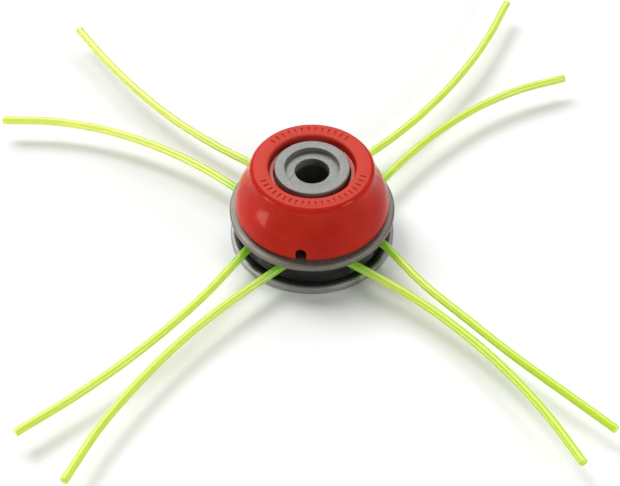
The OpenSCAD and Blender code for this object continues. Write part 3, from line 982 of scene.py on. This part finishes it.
def tube(name, points, radius):
    """A round bar along a flat route, with slightly broken edges at its ends."""
    mesh = bmesh.new()
    last = len(points) - 1
    broken = BROKEN_EDGE * radius
    rings = []
    for i, p in enumerate(points):
        ahead = (points[min(i + 1, last)] - points[max(i - 1, 0)]).normalized()
        across = Vector((-ahead.y, ahead.x, 0))
        sections = [(0, radius)]
        if i == 0:
            sections = [(0, radius - broken), (broken, radius)]
        if i == last:
            sections = [(-broken, radius), (0, radius - broken)]
        for along, size in sections:
            ring = []
            for k in range(LINE_FACES):
                a = 2 * math.pi * k / LINE_FACES
                offset = across * math.cos(a) + Vector((0, 0, math.sin(a)))
                ring.append(mesh.verts.new((p + ahead * along + offset * size) * MM))
            rings.append(ring)
    skin(mesh, rings)
    bmesh.ops.recalc_face_normals(mesh, faces=mesh.faces)
    return to_piece(name, mesh)


def add_half_line(index, side, material):
    """One free end of a line, with its half of the loop inside the head."""
    points = smooth([(x, y, LINE_Z) for x, y in half_route(index, side)])
    node = f"line_{index + 1}"
    piece = tube(f"{node}_{SIDES[side]}_end", points, LINE_D / 2)
    finish_piece(piece, "line_nylon", node, material)


def add_lines():
    material = nylon()
    for index in range(len(ENDS)):
        for side in range(len(SIDES)):
            add_half_line(index, side, material)


# Camera, fitted to the photograph: degrees and millimetres
CAMERA_TURN = -3.7
CAMERA_ELEVATION = 47.262
CAMERA_DISTANCE = 850
CAMERA_TARGET = (-1.0, 0, -6.8)
CAMERA_LENS = 102.05
CAMERA_CLIP_START = 10

# Studio: metres, watts and sun strengths
FLOOR_REACH = 12
WORLD_STRENGTH = 0.2


def add_looking(name, data, place, way):
    """A camera or light at a place, looking along a way."""
    thing = bpy.data.objects.new(name, data)
    bpy.context.scene.collection.objects.link(thing)
    thing.location = place
    thing.rotation_mode = "QUATERNION"
    thing.rotation_quaternion = way.to_track_quat("-Z", "Y")
    return thing


def add_camera():
    """The photograph's camera, turned with the object."""
    turn = Matrix.Rotation(math.radians(CAMERA_TURN), 3, "Z")
    rise = math.radians(CAMERA_ELEVATION)
    back = turn @ Vector((0, -math.cos(rise), math.sin(rise)))
    target = turn @ Vector(CAMERA_TARGET)
    data = bpy.data.cameras.new("camera")
    data.lens = CAMERA_LENS
    data.clip_start = CAMERA_CLIP_START * MM
    place = (target + back * CAMERA_DISTANCE) * MM
    bpy.context.scene.camera = add_looking("camera", data, place, -back)


def add_floor():
    mesh = bmesh.new()
    bmesh.ops.create_grid(mesh, x_segments=1, y_segments=1, size=FLOOR_REACH)
    floor = to_piece("studio_floor", mesh)
    floor.data.materials.append(floor_white())


def add_world():
    """Even white light from all round."""
    world = bpy.data.worlds.new("studio")
    bpy.context.scene.world = world
    world.use_nodes = True
    back = world.node_tree.nodes["Background"]
    back.inputs["Color"].default_value = (1, 1, 1, 1)
    back.inputs["Strength"].default_value = WORLD_STRENGTH


def add_sun(name, place, degrees, strength):
    """A far, soft light from one side, whose disc is some degrees across."""
    data = bpy.data.lights.new(name, "SUN")
    data.angle = math.radians(degrees)
    data.energy = strength
    add_looking(name, data, place, -Vector(place))


def add_light(name, place, target, size, power):
    """A rectangular light that faces its target."""
    data = bpy.data.lights.new(name, "AREA")
    data.shape = "RECTANGLE"
    data.size, data.size_y = size
    data.energy = power
    add_looking(name, data, place, Vector(target) - Vector(place))


def add_studio():
    """Pale floor and soft lights, with tones shown as they are."""
    add_floor()
    add_world()
    add_sun("key_sun", (-0.5, 0.6, 0.9), degrees=28, strength=2.0)
    add_sun("back_sun", (0.1, 0.75, 0.95), degrees=45, strength=1.65)
    add_light("front_light", (0.25, -1.0, 0.8), (0, 0, 0.02), size=(0.6, 0.5), power=0.4)
    add_light("left_light", (-0.8, -0.22, 0.16), (0, 0, 0.03), size=(0.3, 0.26), power=2.5)
    add_light("left_card", (-0.25, -0.055, 0.02), (0, 0, 0.035), size=(0.08, 0.04), power=0.1)
    add_light("right_light", (0.75, -0.5, 0.4), (0, 0, 0.03), size=(0.3, 0.4), power=4.0)
    bpy.context.scene.view_settings.view_transform = "Standard"


add_camera()
add_cover()
HUB_METAL = hub_metal()
add_hub(HUB_METAL)
add_split_ring(HUB_METAL)
add_lower_disc()
LINER_PLASTIC = liner_plastic()
add_lower_liner(LINER_PLASTIC)
add_upper_liner(LINER_PLASTIC)
add_upper_flange()
add_posts_and_screws()
add_lines()
add_studio()
